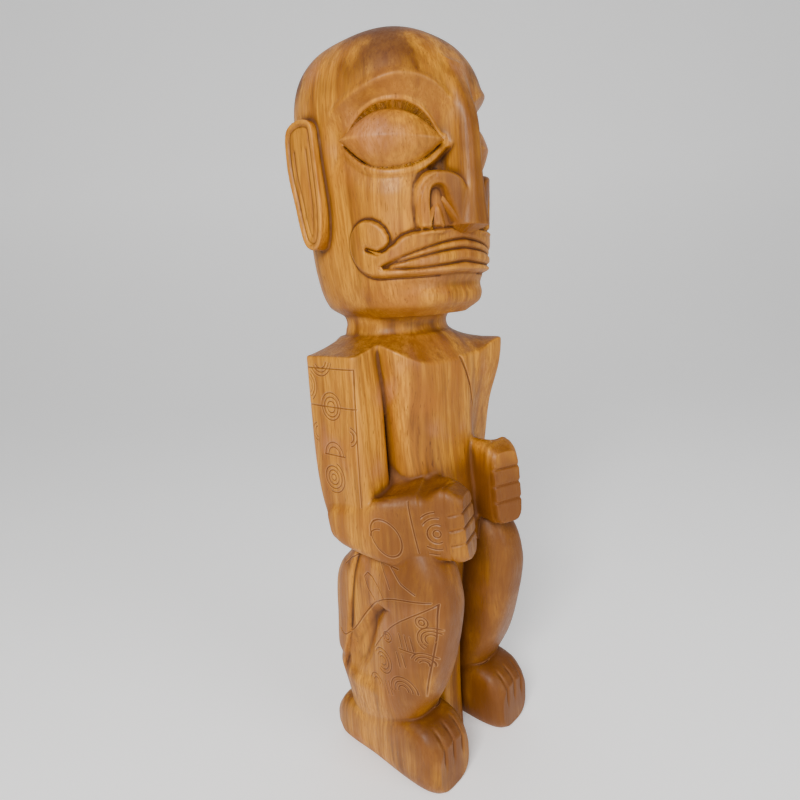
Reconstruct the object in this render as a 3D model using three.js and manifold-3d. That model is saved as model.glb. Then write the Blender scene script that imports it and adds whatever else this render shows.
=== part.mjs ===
// Carved hardwood tiki figure: one log, made here as its named carved regions.
// Millimetres, +Z up, the figure faces -Y, its own right side is at -X.
// Neighbouring regions meet at the carved creases and keep a hairline gap there.
import * as THREE from 'three';
import { mergeVertices } from 'three/addons/utils/BufferGeometryUtils.js';
import Module from 'manifold-3d';

const wasm = await Module();
wasm.setup();

// ---------- driving dimensions ----------
const HEIGHT = 800;              // soles to crown
const GAP = 0.3;                 // hairline between two neighbouring regions
const TINY = 1e-6;               // a sine or cosine smaller than this is zero

const CHIN_Z = 519;              // underside of the jaw
const NECK_Z = 497;              // foot of the neck
const SHOULDER_Z = 478;          // flat top of the shoulders
const FORK_Z = 262;              // where the trunk gives way to the legs
const KNEE_Z = 172;              // crease between thigh and calf
const KNEE_TILT = 0.22;          // slope of that crease, in radians
const ANKLE_Z = 52;              // crease between calf and foot

const HEAD_Y = 15;               // the head sits behind the middle of the log
const EYE_Z = 690;
const EYE_TURN = 48;             // degrees between an eye's middle and straight ahead
const EYE_REACH = 84;            // from the head's axis to the middle of an eyeball
const NOSE_BOTTOM_Z = 604;
const MOUTH_Z = 582;
const MOUTH_Y = 12;
const EAR_Z = 659;
const EAR_Y = 44;

const ELBOW = [-80, 16, 294];    // right elbow, inside the block of the forearm
const WRIST = [-54, -50, 307];
const KNUCKLES = [-38, -95, 311];
const SOLE_CUT = 3;              // how much is trimmed off the rounded soles
const FOOT_X = 62;               // middle of each foot from the middle of the log

const WOOD = { colour: 0x9c5a26, roughness: 0.42 };

// ---------- helpers ----------
const SIDES = [['right', 1, 2], ['left', -1, 32]];   // name, side, shoulder's lead

/** Smooth curve through the rows of a table whose first column is the station. */
function track(rows) {
  return (station) => {
    let i = 0;
    while (i < rows.length - 2 && station > rows[i + 1][0]) i += 1;
    const before = rows[Math.max(i - 1, 0)];
    const [a, b] = [rows[i], rows[i + 1]];
    const after = rows[Math.min(i + 2, rows.length - 1)];
    const t = THREE.MathUtils.clamp((station - a[0]) / (b[0] - a[0]), 0, 1);
    const basis = [2 * t ** 3 - 3 * t ** 2 + 1, t ** 3 - 2 * t ** 2 + t,
      3 * t ** 2 - 2 * t ** 3, t ** 3 - t ** 2];
    return a.slice(1).map((value, k) => {
      const c = k + 1;
      const span = b[0] - a[0];
      const slopeA = (b[c] - before[c]) / (b[0] - before[0] || 1) * span;
      const slopeB = (after[c] - a[c]) / (after[0] - a[0] || 1) * span;
      return basis[0] * value + basis[1] * slopeA + basis[2] * b[c] + basis[3] * slopeB;
    });
  };
}

/** Closed loft along Z. Rows are [z, middleX, middleY, halfX, halfY, squareness]. */
function loft(rows, grow = 0, around = 16, along = 8) {
  const bottom = rows[0][0];
  const top = rows[rows.length - 1][0];
  const section = track(rows);
  const geometry = new THREE.CylinderGeometry(1, 1, 1, around, along);
  geometry.rotateX(Math.PI / 2);
  const place = geometry.getAttribute('position');
  for (let i = 0; i < place.count; i += 1) {
    const fraction = place.getZ(i) + 0.5;
    const [x, y, halfX, halfY, squareness] = section(bottom + (top - bottom) * fraction);
    const onAxis = Math.hypot(place.getX(i), place.getY(i)) < 0.5;
    const round = (value) => (Math.abs(value) < TINY ? 0
      : Math.sign(value) * Math.abs(value) ** (2 / squareness));
    const dx = onAxis ? 0 : round(place.getX(i)) * (halfX + grow);
    const dy = onAxis ? 0 : round(place.getY(i)) * (halfY + grow);
    place.setXYZ(i, x + dx, y + dy, bottom - grow + (top - bottom + 2 * grow) * fraction);
  }
  return geometry;
}

/** Manifold solid of a three.js geometry, flipped to the figure's left where side is -1. */
function solid(geometry, side = 1) {
  geometry.deleteAttribute('normal');
  geometry.deleteAttribute('uv');
  const welded = mergeVertices(geometry, 1e-4);
  if (side < 0) mirror(welded);
  const mesh = new wasm.Mesh({
    numProp: 3,
    vertProperties: new Float32Array(welded.getAttribute('position').array),
    triVerts: new Uint32Array(welded.index.array),
  });
  return new wasm.Manifold(mesh);
}

/** three.js geometry of a manifold solid. */
function surface(body) {
  const { vertProperties, triVerts } = body.getMesh();
  const geometry = new THREE.BufferGeometry();
  geometry.setAttribute('position', new THREE.BufferAttribute(vertProperties, 3));
  geometry.setIndex(new THREE.BufferAttribute(triVerts, 1));
  return geometry;
}

/** Segmented box, turned and moved, for cuts and grooves. */
function block(size, middle, turn = [0, 0, 0]) {
  const geometry = new THREE.BoxGeometry(...size);
  geometry.applyMatrix4(new THREE.Matrix4().makeRotationFromEuler(new THREE.Euler(...turn)));
  geometry.translate(...middle);
  return solid(geometry);
}

/** Flips a welded geometry across the middle plane and keeps its faces pointing out. */
function mirror(geometry) {
  geometry.scale(-1, 1, 1);
  const corners = geometry.index.array;
  for (let i = 0; i < corners.length; i += 3) {
    [corners[i], corners[i + 1]] = [corners[i + 1], corners[i]];
  }
}

/** Moves a loft made along Z onto the straight line between two points. */
function along(geometry, from, to) {
  const start = new THREE.Vector3(...from);
  const run = new THREE.Vector3(...to).sub(start);
  const ahead = run.clone().normalize();
  const upward = new THREE.Vector3(0, 0, 1);
  const across = new THREE.Vector3().crossVectors(upward, ahead).normalize();
  const lift = new THREE.Vector3().crossVectors(ahead, across);
  geometry.applyMatrix4(new THREE.Matrix4().makeBasis(across, lift, ahead));
  geometry.translate(...from);
  return geometry;
}

// ---------- head ----------
function headBlock(grow) {
  return loft([
    [CHIN_Z, 0, HEAD_Y - 5, 58, 64, 2.7],
    [531, 0, HEAD_Y - 5, 73, 77, 2.9],
    [565, 0, HEAD_Y - 2, 81, 83, 3.0],
    [620, 0, HEAD_Y, 84, 86, 3.0],
    [700, 0, HEAD_Y + 1, 88, 91, 3.0],
    [748, 0, HEAD_Y + 3, 85, 90, 2.8],
    [778, 0, HEAD_Y + 3, 70, 74, 2.6],
    [794, 0, HEAD_Y, 43, 46, 2.4],
    [HEIGHT, 0, HEAD_Y, 16, 18, 2.2],
  ], grow, 28, 13);
}

/** Raised ear slab: an upright outline pinched at its middle, extruded outwards. */
function ear(grow) {
  const outline = new THREE.Shape();
  outline.moveTo(-24, 54);
  outline.quadraticCurveTo(-4, 64, 14, 54);
  outline.quadraticCurveTo(28, 40, 21, 6);
  outline.quadraticCurveTo(16, -8, 24, -30);
  outline.quadraticCurveTo(28, -58, 8, -68);
  outline.quadraticCurveTo(-12, -72, -16, -52);
  outline.quadraticCurveTo(-28, 10, -24, 54);
  const geometry = new THREE.ExtrudeGeometry(outline, {
    depth: 16 + 2 * grow, curveSegments: 3, bevelThickness: 3, bevelSize: 3 + grow,
    bevelOffset: -3, bevelSegments: 1,
  });
  geometry.rotateX(Math.PI / 2);
  geometry.rotateZ(-Math.PI / 2);
  geometry.translate(grow - 78, EAR_Y, EAR_Z);
  return geometry;
}

/** Almond eyeball lying against the corner of the head. */
function eye(grow) {
  const geometry = new THREE.SphereGeometry(1, 16, 10);
  const place = geometry.getAttribute('position');
  for (let i = 0; i < place.count; i += 1) {
    const reach = place.getX(i);
    const pinch = 1 - 0.45 * reach ** 4;
    place.setXYZ(i, reach * (51 + grow), place.getY(i) * (22 + grow),
      place.getZ(i) * (28 + grow) * pinch);
  }
  geometry.rotateY(THREE.MathUtils.degToRad(-3));
  geometry.rotateZ(THREE.MathUtils.degToRad(-EYE_TURN));
  const turn = THREE.MathUtils.degToRad(EYE_TURN);
  geometry.translate(-Math.sin(turn) * EYE_REACH, HEAD_Y - Math.cos(turn) * EYE_REACH, EYE_Z);
  return geometry;
}

/** Flat bridge that broadens from the brow to the tip. */
function nose(grow) {
  return loft([
    [NOSE_BOTTOM_Z, 0, -56, 25, 38, 4],
    [615, 0, -56, 25, 37, 4],
    [650, 0, -50, 20, 35, 4],
    [700, 0, -46, 19, 35, 4],
    [738, 0, -42, 19, 32, 4],
  ], grow, 12, 4);
}

/** Arched nostril wing, an upside-down U beside the tip. */
function noseWing(grow) {
  const arch = new THREE.Shape();
  arch.moveTo(-20 - grow, -26 - grow);
  arch.lineTo(-20 - grow, 4);
  arch.absarc(0, 4, 20 + grow, Math.PI, 0, true);
  arch.lineTo(20 + grow, -26 - grow);
  const geometry = new THREE.ExtrudeGeometry(arch, {
    depth: 40 + 2 * grow, curveSegments: 6, bevelThickness: 3, bevelSize: 3,
    bevelOffset: -3, bevelSegments: 1,
  });
  geometry.translate(0, 0, -grow);
  geometry.rotateX(Math.PI / 2);
  geometry.rotateZ(THREE.MathUtils.degToRad(-26));
  geometry.translate(-38, -36, NOSE_BOTTOM_Z + 26);
  return geometry;
}

/** One lip: a band round the front of the jaw that tapers to its corners. */
function lip(z, half, proud, grow) {
  return loft([
    [z - half, 0, MOUTH_Y, 78 + proud, 82 + proud, 3],
    [z - half + 4, 0, MOUTH_Y, 81 + proud, 85 + proud, 3],
    [z + half - 4, 0, MOUTH_Y, 81 + proud, 85 + proud, 3],
    [z + half, 0, MOUTH_Y, 78 + proud, 82 + proud, 3],
  ], grow, 28, 3);
}

/** The stretch of a lip between the mouth's corners. */
function lipRegion(grow) {
  const wedge = new THREE.Shape();
  const slack = 1.5 * grow;
  wedge.moveTo(0, 20 + slack);
  wedge.lineTo(-120, slack - 66);
  wedge.lineTo(-120, -150);
  wedge.lineTo(120, -150);
  wedge.lineTo(120, slack - 66);
  const geometry = new THREE.ExtrudeGeometry(wedge, { depth: 80, bevelEnabled: false });
  geometry.translate(0, 0, MOUTH_Z - 40);
  return geometry;
}

/** Round curl that ends the mouth line on each cheek. */
function mouthCurl(grow) {
  const geometry = new THREE.CylinderGeometry(13 + grow, 15 + grow, 34 + 2 * grow, 18, 1);
  geometry.rotateZ(THREE.MathUtils.degToRad(62 + 28));
  geometry.rotateZ(THREE.MathUtils.degToRad(26));
  geometry.translate(-70, -30, MOUTH_Z + 8);
  return geometry;
}

// ---------- trunk ----------
function neck() {
  return loft([
    [NECK_Z + GAP, 0, 26, 65, 58, 2.4],
    [504, 0, 27, 60, 54, 2.4],
    [512, 0, 26, 59, 53, 2.4],
    [CHIN_Z - GAP, 0, 22, 59, 55, 2.4],
  ], 0, 20, 4);
}

function torso(grow) {
  return loft([
    [FORK_Z, 0, 4, 64, 62, 3],
    [300, 0, 2, 62, 60, 3],
    [350, 0, 4, 58, 57, 3.2],
    [400, 0, 7, 62, 58, 3.6],
    [450, 0, 10, 76, 62, 3.6],
    [SHOULDER_Z - 4, 0, 12, 84, 64, 3.6],
    [SHOULDER_Z + 5, 0, 15, 80, 60, 3.2],
    [NECK_Z, 0, 24, 68, 58, 2.8],
  ], grow, 20, 9);
}

/** Upper arm slab. Its shoulder end lies further forward on the left than on the right. */
function upperArm(lead) {
  return (grow) => loft([
    [250, -78, 24, 16, 18, 3],
    [264, -81, 23, 22, 28, 3.4],
    [300, -84, 22, 22, 37, 4],
    [360, -85, 26 - lead / 2, 22, 38, 4.4],
    [430, -84, 29 - lead, 22, 38, 5],
    [SHOULDER_Z - 6, -82, 30 - lead, 22, 38, 5],
    [SHOULDER_Z, -81, 30 - lead, 19, 35, 4],
  ], grow, 16, 8);
}

function forearm(grow) {
  const length = Math.hypot(...WRIST.map((value, k) => value - ELBOW[k]));
  const shape = loft([
    [-34, 0, -6, 20, 24, 3.2],
    [-22, 0, -3, 25, 34, 3.6],
    [10, 0, 0, 26, 38, 4],
    [length - 14, 0, -3, 24, 32, 4],
    [length, 0, -3, 23, 32, 4],
  ], grow, 16, 5);
  return along(shape, ELBOW, WRIST);
}

function hand(grow) {
  const length = Math.hypot(...KNUCKLES.map((value, k) => value - WRIST[k]));
  const shape = loft([
    [GAP, 0, -2, 23, 33, 4],
    [16, 0, 2, 22, 38, 4],
    [length - 8, 0, 0, 20, 40, 4],
    [length, 0, 0, 16, 36, 4],
  ], grow, 16, 4);
  return along(shape, WRIST, KNUCKLES);
}

/** Three grooves that part the four fingers across the knuckles. */
function fingerGrooves(sign) {
  const turn = Math.atan2(KNUCKLES[0] - WRIST[0], WRIST[1] - KNUCKLES[1]);
  return [-1, 0, 1].map((step) => block([60, 22, 2.5],
    [sign * KNUCKLES[0], KNUCKLES[1], KNUCKLES[2] + step * 18], [0, 0, sign * turn]));
}

// ---------- legs ----------
/** Whole leg from the fork to the ankle, before the knee crease parts it. */
function leg(grow) {
  return loft([
    [ANKLE_Z - 6, -60, 14, 30, 50, 3],
    [80, -61, 10, 33, 58, 3],
    [120, -61, 4, 36, 70, 3],
    [170, -61, -5, 37, 82, 3],
    [215, -61, -10, 37, 85, 3],
    [250, -61, -8, 35, 79, 3],
    [276, -60, -2, 31, 64, 3],
  ], grow, 18, 9);
}

/** Half-space above or below the slanting crease that parts thigh and calf. */
function kneeCut(above, sign) {
  const half = 120;
  const shift = above * (half + GAP / 2);
  const middle = [-FOOT_X * sign, -Math.sin(KNEE_TILT) * shift, KNEE_Z + Math.cos(KNEE_TILT) * shift];
  return block([half, 2.4 * half, 2 * half], middle, [KNEE_TILT, 0, 0]);
}

/** Central slab that joins the legs from the fork to the ground. */
function core(grow) {
  return loft([
    [0, 0, 16, 24, 60, 4],
    [60, 0, 14, 24, 58, 4],
    [140, 0, 12, 26, 58, 4],
    [FORK_Z - GAP, 0, 6, 30, 62, 4],
  ], grow, 12, 4);
}

function foot(grow) {
  const shape = loft([
    [-88, 0, 24, 22, 20, 3],
    [-72, 0, 31, 29, 31, 3.4],
    [-20, 0, 35, 31, 35, 3.6],
    [30, 0, 33, 33, 33, 3.6],
    [66, 0, 29, 33, 29, 3.4],
    [80, 0, 24, 26, 20, 3],
  ], grow, 16, 8);
  shape.rotateX(Math.PI / 2);
  shape.translate(-FOOT_X, 0, -SOLE_CUT);
  return shape;
}

/** Everything above the ground, which trims the soles flat. */
function aboveGround() {
  return block([2 * HEIGHT, 2 * HEIGHT, HEIGHT], [0, 0, HEIGHT / 2]);
}

/** Three grooves that part the toes. */
function toeGrooves(sign) {
  return [-1, 0, 1].map((step) => block([2.5, 46, 40],
    [sign * (step * 15 - FOOT_X), -74, 46], [0.5, 0, 0]));
}

// ---------- assembly ----------
const lips = {
  upper: (grow) => solid(lip(MOUTH_Z + 9, 8, 4, grow)).intersect(solid(lipRegion(grow))),
  lower: (grow) => solid(lip(MOUTH_Z - 9, 8, 3, grow)).intersect(solid(lipRegion(grow))),
};
const group = new THREE.Group();

/** The solid of a region, on the right side (1) or mirrored to the left (-1). */
function region(make, side = 1, grow = 0) {
  return solid(make(grow), side);
}

/** Adds one named region, cut back wherever its neighbours already have their room. */
function add(name, body, neighbours = []) {
  const rest = neighbours.reduce((left, tool) => left.subtract(tool), body);
  const material = new THREE.MeshStandardMaterial({
    color: WOOD.colour, roughness: WOOD.roughness, metalness: 0,
  });
  const mesh = new THREE.Mesh(surface(rest), material);
  mesh.name = name;
  group.add(mesh);
}

const faceRoom = [region(nose, 1, GAP), lips.upper(GAP), lips.lower(GAP)];
const trunkRoom = [region(core, 1, GAP)];

for (const [side, sign, lead] of SIDES) {
  const arm = upperArm(lead);
  const own = (make) => region(make, sign);
  const room = (make) => region(make, sign, GAP);

  add(`${side}_ear`, own(ear));
  add(`${side}_mouth_curl`, own(mouthCurl), [lips.upper(GAP), lips.lower(GAP)]);
  add(`${side}_nose_wing`, own(noseWing), [region(nose, 1, GAP), room(mouthCurl)]);
  add(`${side}_eye`, own(eye), [region(nose, 1, GAP), room(noseWing)]);
  faceRoom.push(room(ear), room(mouthCurl), room(noseWing), room(eye));

  add(`${side}_forearm`, own(forearm));
  add(`${side}_hand`, own(hand), [room(forearm), ...fingerGrooves(sign)]);
  add(`${side}_upper_arm`, own(arm), [room(forearm)]);
  trunkRoom.push(room(forearm), room(hand), room(arm), room(leg), room(foot));

  const limbRoom = [room(forearm), room(hand), room(arm)];
  add(`${side}_thigh`, own(leg).intersect(kneeCut(1, sign)), limbRoom);
  add(`${side}_calf`, own(leg).intersect(kneeCut(-1, sign)));
  add(`${side}_foot`, own(foot).intersect(aboveGround()), [room(leg), ...toeGrooves(sign)]);
}

add('nose', region(nose));
add('upper_lip', lips.upper(0), [region(nose, 1, GAP)]);
add('lower_lip', lips.lower(0));
add('head_block', region(headBlock), faceRoom);
add('torso', region(torso), trunkRoom);
add('neck', region(neck));
add('leg_core', region(core), trunkRoom.slice(1));

// The origin is at ground level under the middle of the figure's box.
const box = new THREE.Box3().setFromObject(group);
group.position.y = -(box.min.y + box.max.y) / 2;

export default group;
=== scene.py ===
"""Carved standing tiki figure, sculpted as one continuous wooden surface parted into its named regions."""
import math

import bpy
import numpy as np
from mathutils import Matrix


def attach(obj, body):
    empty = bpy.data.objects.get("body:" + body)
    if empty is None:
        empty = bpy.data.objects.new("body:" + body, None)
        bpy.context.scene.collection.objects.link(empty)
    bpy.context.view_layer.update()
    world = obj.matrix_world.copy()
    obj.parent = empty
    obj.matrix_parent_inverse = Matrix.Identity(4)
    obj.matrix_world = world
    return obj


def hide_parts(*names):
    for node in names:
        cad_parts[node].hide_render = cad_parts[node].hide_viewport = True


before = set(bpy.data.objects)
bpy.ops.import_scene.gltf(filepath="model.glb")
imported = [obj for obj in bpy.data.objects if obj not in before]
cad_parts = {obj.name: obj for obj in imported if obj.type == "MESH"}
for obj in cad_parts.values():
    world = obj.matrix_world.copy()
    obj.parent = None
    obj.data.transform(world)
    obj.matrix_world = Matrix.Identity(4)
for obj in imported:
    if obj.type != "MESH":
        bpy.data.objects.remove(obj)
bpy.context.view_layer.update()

import openvdb as vdb
from mathutils import Matrix, Vector

# ---------------------------------------------------------------- sizes, in millimetres
# x runs to the figure's left, y to its back, z up; the figure's right side is x < 0.
MM = 0.001
VOXEL = 1.25
CENTRING = -2.4          # the CAD centres the figure front to back
FAR = 12.0               # the field's value away from the wood
LOW = (-115.0, -110.0, -4.0)
HIGH = (115.0, 115.0, 806.0)

CHIN_Z, NECK_Z = 519.0, 497.0
KNEE_Z, KNEE_TILT = 172.0, 0.22
HEAD_Y = 16.0            # the head's upright axis
ARC = 1.55               # millimetres of head surface per degree of turn
EYE_TURN, EYE_REACH, EYE_Z = 47.0, 87.5, 685.0
ELBOW = np.array([-80.0, 16.0, 294.0])
WRIST = np.array([-54.0, -50.0, 307.0])
KNUCKLES = np.array([-38.0, -95.0, 311.0])
FOOT_X, SOLE_CUT = 62.0, 3.0
TURN_STEP, HEIGHT_STEP = 0.5, 0.8            # spacing of the face chart's points
COVE, UNDER_EYE, BROW_CREST = 11.5, 5.0, 2.2
LID_UPPER, LID_LOWER = 1.9, 2.0
SOCKET_UPPER, SOCKET_LOWER = 7.0, 6.0
PIT_DEPTH = 11.0
WING_PROUD, WING_NOSE_PROUD = 6.5, 12.5      # the wing stands out more where it meets the nose
CURL_HEIGHT, LIP_HEIGHT = 5.2, 5.6
LIP_DIP_Z, LIP_DIP = 549, 5.0
EYEBALL_WIDE, EYEBALL_OUT = 50, 14.5
EYEBALL_ABOVE, EYEBALL_BELOW = 25.5, 27.5
EAR_FACE, EAR_ROOT = 97.0, 74
FINGER_GROOVES, FINGER_DEPTH = (-19, -3, 13), 1.9
TOE_GROOVES, TOE_DEPTH = (-15, 0, 15), 2.6
HOLLOW_DEPTH, STRIP_DEPTH = 10.0, 6.0
CRACK_DEPTH, CRACK_WIDTH = 1.6, 1.5
ENGRAVED_DEPTH, ENGRAVED_WIDTH = 0.95, 0.85

# sections: station, middle across, middle deep, half across, half deep, squareness
HEAD = [(519, 0, 10, 58, 64, 2.7), (531, 0, 10, 73, 77, 2.9), (565, 0, 13, 81, 83, 3),
        (620, 0, 15, 84, 86, 3), (700, 0, 16, 88, 91, 3), (748, 0, 18, 85, 90, 2.8),
        (778, 0, 18, 70, 74, 2.6), (794, 0, 15, 43, 46, 2.4), (800, 0, 15, 16, 18, 2.2)]
NOSE = [(604, 0, -58, 22, 40, 4), (615, 0, -58, 20, 39, 4), (650, 0, -58, 14.5, 37, 4),
        (700, 0, -55, 14, 37, 4), (726, 0, -49, 15, 35, 3.6), (752, 0, -34, 18, 34, 3)]
NECK = [(484, 0, 18, 66, 52, 2.4), (504, 0, 24, 59, 50, 2.4), (512, 0, 23, 58, 49, 2.4),
        (524, 0, 20, 61, 55, 2.4)]
TORSO = [(256, 0, 4, 64, 62, 3), (300, 0, 2, 62, 60, 3), (350, 0, 4, 58, 57, 3.2),
         (400, 0, 7, 61, 58, 3.6), (450, 0, 10, 66, 62, 3.8), (474, 0, 12, 69, 64, 3.8),
         (500, 0, 12, 70, 65, 3.8)]
FOREARM = [(-34, 0, 8, 18, 16, 3), (-22, 0, 7, 24, 24, 3.4), (8, -3, 4, 29, 33, 4.5),
           (36, -5, 0, 30, 38, 5), (58, -3, -1, 27, 36, 5), (76, -1, -2, 25, 35, 5)]
HAND = [(-4, -1, -4, 25, 33, 5), (10, 0, -3, 25, 35, 5), (27, 0, 0, 23, 40, 5),
        (40, 0, -3, 21, 38, 5), (48, 0, -5, 17, 34, 4)]
LEG = [(44, -60, 15, 29, 48, 3), (80, -61, 11, 33, 58, 3.2), (120, -61, 6, 37, 72, 3.4),
       (170, -60, -1, 37, 81, 3), (215, -60, -7, 37, 83, 3), (238, -60, -11, 36, 77, 3),
       (256, -60, -17, 33, 66, 3), (272, -60, -18, 29, 56, 3), (288, -60, -18, 22, 44, 3)]
LEG_CORE = [(-1, 0, 22, 24, 58, 4), (60, 0, 22, 24, 56, 4), (140, 0, 18, 26, 54, 4),
            (264, 0, 10, 30, 58, 4)]
FOOT = [(-88, 0, 24, 22, 20, 3), (-72, 0, 31, 29, 31, 3.4), (-20, 0, 35, 31, 35, 3.6),
        (30, 0, 42, 34, 42, 4.2), (58, 0, 40, 34, 40, 3.8), (72, 0, 36, 31, 35, 3.2),
        (80, 0, 33, 26, 28, 3)]


def upper_arm(lead):
    """An upper arm's sections; lead is how far its shoulder sits forward."""
    return [(269, -78, 16, 16, 15, 3), (281, -82, 18, 21, 27, 3.6), (312, -84, 21, 22, 36, 5),
            (360, -85, 26 - lead / 2, 22, 38, 7), (430, -84, 29 - lead, 22, 38, 8),
            (472, -82, 30 - lead, 23, 38, 8), (500, -82, 30 - lead, 23, 38, 8)]


RIGHT_ARM = upper_arm(2)
LEFT_ARM = [(269, -75, 16, 16, 15, 3), (281, -77, 18, 21, 27, 3.6), (312, -78, 16, 22, 36, 5),
            (360, -77, 9, 21, 37, 6), (410, -76, 1, 22, 38, 6), (448, -79, -8, 25, 38, 7),
            (472, -79, -11, 27, 38, 8), (500, -79, -11, 27, 38, 8)]

def arc(centre, wide, tall, start, end, steps=8):
    """Points along part of an ellipse, between two directions in degrees."""
    return [(centre[0] + wide * math.cos(math.radians(a)), centre[1] + tall * math.sin(math.radians(a)))
            for a in np.linspace(start, end, steps)]


# outlines on the head, as (degrees from the front, height); the same on both sides
BROW = [(-20, 692, 0), (-2, 694, 0), (9.5, 718, 0), (25, 733, 0), (42, 737, 0), (58, 731, 0),
        (83, 717, 0), (104, 700, 0)]
MOUTH = arc((59, 590), 22.5, 32, -90, 0, 7) + arc((66.5, 590), 15, 24.5, 15, 180, 10) + [
    (50, 591), (45, 597), (39, 600), (23, 603), (0, 605), (-25, 605), (-25, 561), (0, 560),
    (30, 558.5)]
LIP_LINES = [[(-25, 594, 0), (0, 593, 0), (20, 589, 0), (40, 580, 0), (59, 568, 0)],
             [(-25, 584, 0), (0, 584, 0), (20, 581, 0), (40, 575, 0), (59, 568, 0)],
             [(-25, 572, 0), (0, 571, 0), (20, 568, 0), (40, 566, 0), (59, 568, 0)]]
CURL_NOTCH = [(50, 592), (55, 585), (60, 582), (67, 586)]
PIT = [(29, 655), (17, 651), (5, 650), (3, 668), (5, 684), (17, 668)]
WING = [(35, 594), (37.5, 612)] + arc((20.5, 634), 17.5, 24, 0, 180) + [(3, 604), (14, 600), (30, 594)]
SLOT = [(27, 590), (29.5, 618)] + arc((23.5, 634), 5.5, 9, 0, 180, 6) + [(11, 606), (10, 590)]
TONGUE = [(25, 590), (27, 614), (24, 627), (20, 620), (16, 590)]
WING_LINE = [(35, 600), (34.5, 629), (31.5, 641), (25, 649)]
EAR_Y, EAR_Z = 44.0, 659.0
EAR = [(-12, 52), (4, 58), (20, 56), (31, 48), (31, 10), (23, -22), (19, -44), (13, -64), (-1, -70),
       (-12, -62), (-17, -34), (-15, 0), (-13, 30)]

ORDER = ["head_block", "neck", "torso", "leg_core", "nose", "upper_lip", "lower_lip"] + [
    f"{side}_{name}" for side in ("right", "left")
    for name in ("ear", "eye", "nose_wing", "mouth_curl", "upper_arm", "forearm", "hand",
                 "thigh", "calf", "foot")]
NUMBER = {name: i for i, name in enumerate(ORDER)}


# ---------------------------------------------------------------- shape functions
def track(rows, at):
    """The columns of a table as smooth curves through its rows, read at the stations asked for."""
    rows = np.asarray(rows, np.float32)
    s, v = rows[:, 0], rows[:, 1:]
    slope = np.empty_like(v)
    slope[1:-1] = (v[2:] - v[:-2]) / (s[2:] - s[:-2])[:, None]
    slope[0] = (v[1] - v[0]) / (s[1] - s[0])
    slope[-1] = (v[-1] - v[-2]) / (s[-1] - s[-2])
    at = np.clip(at, s[0], s[-1]).astype(np.float32)
    i = np.clip(np.searchsorted(s, at, side="right") - 1, 0, len(s) - 2)
    h = s[i + 1] - s[i]
    t = (at - s[i]) / h
    a, c = (1 + 2 * t) * (1 - t) ** 2, t * t * (3 - 2 * t)
    b, d = t * (1 - t) ** 2 * h, t * t * (t - 1) * h
    return [a * v[i, k] + b * slope[i, k] + c * v[i + 1, k] + d * slope[i + 1, k]
            for k in range(v.shape[1])]


def loft(rows, across, deep, along):
    """Distance to a run of rounded sections, negative inside."""
    mx, my, hx, hy, n = track(rows, along)
    dx, dy = np.abs(across - mx), np.abs(deep - my)
    g = ((dx / hx) ** n + (dy / hy) ** n) ** (1 / n)
    r = np.sqrt(dx * dx + dy * dy)
    d = r - (r + 1e-4) / (g + 1e-6)
    return np.maximum(d, np.maximum(rows[0][0] - along, along - rows[-1][0]))


def smooth(t):
    t = np.clip(t, 0, 1)
    return t * t * (3 - 2 * t)


def ramp(value, start, end):
    """0 at start, 1 at end, eased."""
    return smooth((value - start) / (end - start))


def hill(d, width):
    return np.exp(-(d / width) ** 2)


def blend(a, b, soft):
    """The nearer of two surfaces, with a fillet of the given size."""
    h = np.clip(0.5 + 0.5 * (b - a) / soft, 0, 1)
    return b + (a - b) * h - soft * h * (1 - h)


def stroke(u, v, points, scale=1.0):
    """Distance to a line through points."""
    best = np.full(np.broadcast(u, v).shape, 1e9, np.float32)
    for (ax, ay), (bx, by) in zip(points[:-1], points[1:]):
        ax, bx = ax * scale, bx * scale
        ex, ey = bx - ax, by - ay
        t = np.clip(((u - ax) * ex + (v - ay) * ey) / (ex * ex + ey * ey + 1e-9), 0, 1)
        best = np.minimum(best, (u - ax - t * ex) ** 2 + (v - ay - t * ey) ** 2)
    return np.sqrt(best)


def outline(u, v, points, scale=1.0):
    """Signed distance to a closed outline, negative inside."""
    closed = list(points) + [points[0]]
    d = stroke(u, v, closed, scale)
    inside = np.zeros(d.shape, bool)
    for (ax, ay), (bx, by) in zip(closed[:-1], closed[1:]):
        ax, bx = ax * scale, bx * scale
        if ay == by:
            continue
        hit = ((ay > v) != (by > v)) & (u < (bx - ax) * (v - ay) / (by - ay) + ax)
        inside ^= hit
    return np.where(inside, -d, d)


def rounded(points, rounds):
    """A closed outline with its corners cut round."""
    for _ in range(rounds):
        points = [tuple(a[k] + share * (b[k] - a[k]) for k in (0, 1))
                  for a, b in zip(points, points[1:] + points[:1]) for share in (0.25, 0.75)]
    return points


def local(origin, target):
    """Unit axes of a limb that runs from origin to target: across, lift, ahead."""
    ahead = (target - origin) / np.linalg.norm(target - origin)
    across = np.cross([0, 0, 1.0], ahead)
    across /= np.linalg.norm(across)
    return across, np.cross(ahead, across), ahead


def in_limb(frame_axes, origin, m, y, z):
    return [(m - origin[0]) * a[0] + (y - origin[1]) * a[1] + (z - origin[2]) * a[2]
            for a in frame_axes]


FOREARM_AXES = local(ELBOW, WRIST)
HAND_AXES = local(WRIST, KNUCKLES)


# ---------------------------------------------------------------- the face, as relief on the head
TURNS = np.arange(-6, 181, TURN_STEP, dtype=np.float32)
HEIGHTS = np.arange(510, 806, HEIGHT_STEP, dtype=np.float32)


def almond(turn, height):
    """Signed distance to the eye opening, in millimetres on the head's surface."""
    e = (turn - EYE_TURN) / 34.0
    w = np.clip(np.abs(e), 0, 1)
    top = EYE_Z + 31.5 * (1 - w ** 2.4)
    low = EYE_Z - 28.0 * (1 - w ** 2.2)
    inside = np.maximum(height - top, low - height) * (1 - 0.25 * w)
    return np.maximum(inside, (np.abs(e) - 1) * 34.0 * ARC)


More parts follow.
